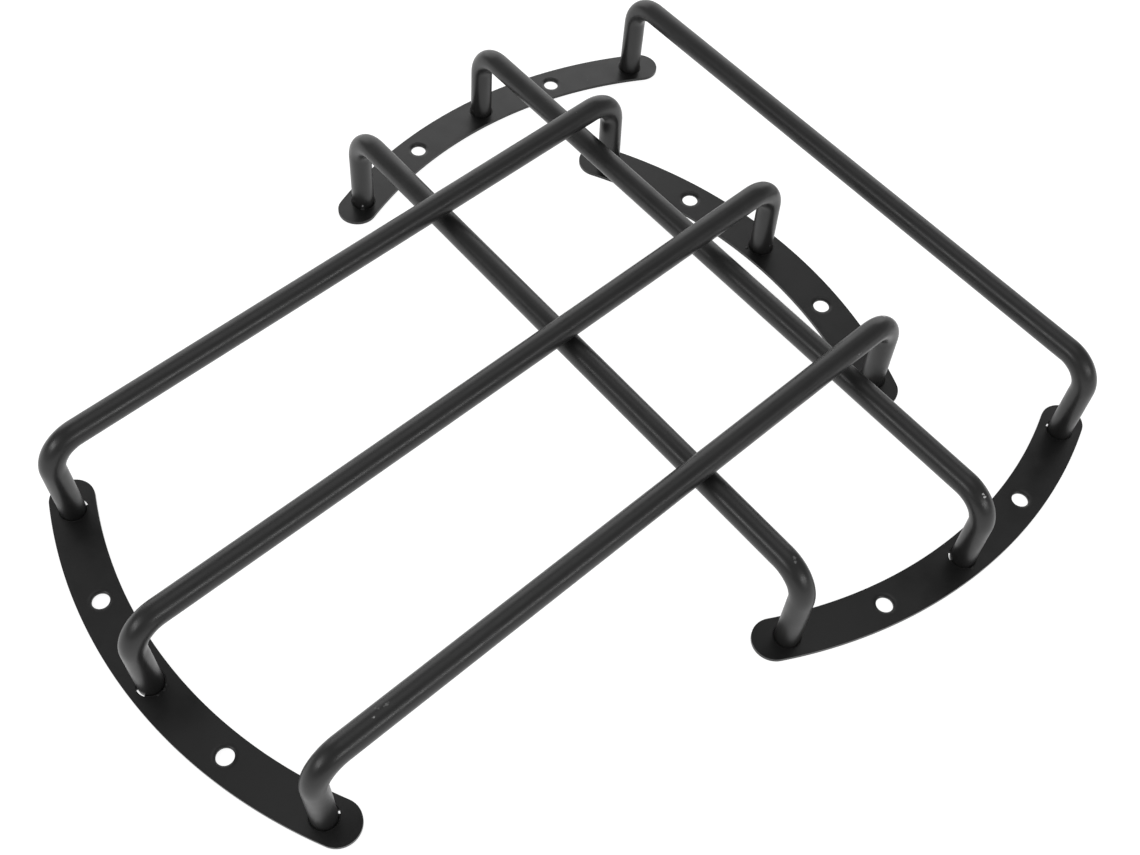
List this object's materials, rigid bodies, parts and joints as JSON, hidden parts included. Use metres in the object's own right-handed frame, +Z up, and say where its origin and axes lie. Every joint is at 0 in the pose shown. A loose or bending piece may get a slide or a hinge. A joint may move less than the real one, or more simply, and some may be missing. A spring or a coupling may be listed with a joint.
{
  "type": "pair of rod rear racks",
  "caption": "Pair of low black racks of bent round rod welded into curved flat strips with bolt holes, one lying across the other.",
  "frame": {"origin": "centre of the lower rack's four bolt holes, on the underside of its strips", "axes": "+X along the lower rack's rods, +Y towards its back rod, +Z up through the bolt holes; the upper rack is turned 92.8 degrees about Z and leans back 3.2 degrees"},
  "size_m": [0.2692, 0.3085, 0.0516],
  "materials": {
    "rod": "black powder coat, satin",
    "strip": "black powder coat, semi-matt",
    "weld": "black powder coat over a weld bead"
  },
  "bodies": {
    "lower_rack": {"lower_front_rod": "rod", "lower_middle_rod": "rod", "lower_back_rod": "rod", "lower_left_strip": "strip", "lower_right_strip": "strip", "lower_left_front_weld": "weld", "lower_left_middle_weld": "weld", "lower_left_back_weld": "weld", "lower_right_front_weld": "weld", "lower_right_middle_weld": "weld", "lower_right_back_weld": "weld"},
    "upper_rack": {"upper_right_rod": "rod", "upper_middle_rod": "rod", "upper_left_rod": "rod", "upper_front_strip": "strip", "upper_back_strip": "strip", "upper_front_right_weld": "weld", "upper_front_middle_weld": "weld", "upper_front_left_weld": "weld", "upper_back_right_weld": "weld", "upper_back_middle_weld": "weld", "upper_back_left_weld": "weld"}
  },
  "joints": [
    {"name": "upper_rack_lift", "type": "slide", "parent": "lower_rack", "child": "upper_rack", "axis": [0, 0.2425, 0.9701], "range_m": [0, 0.12]}
  ]
}
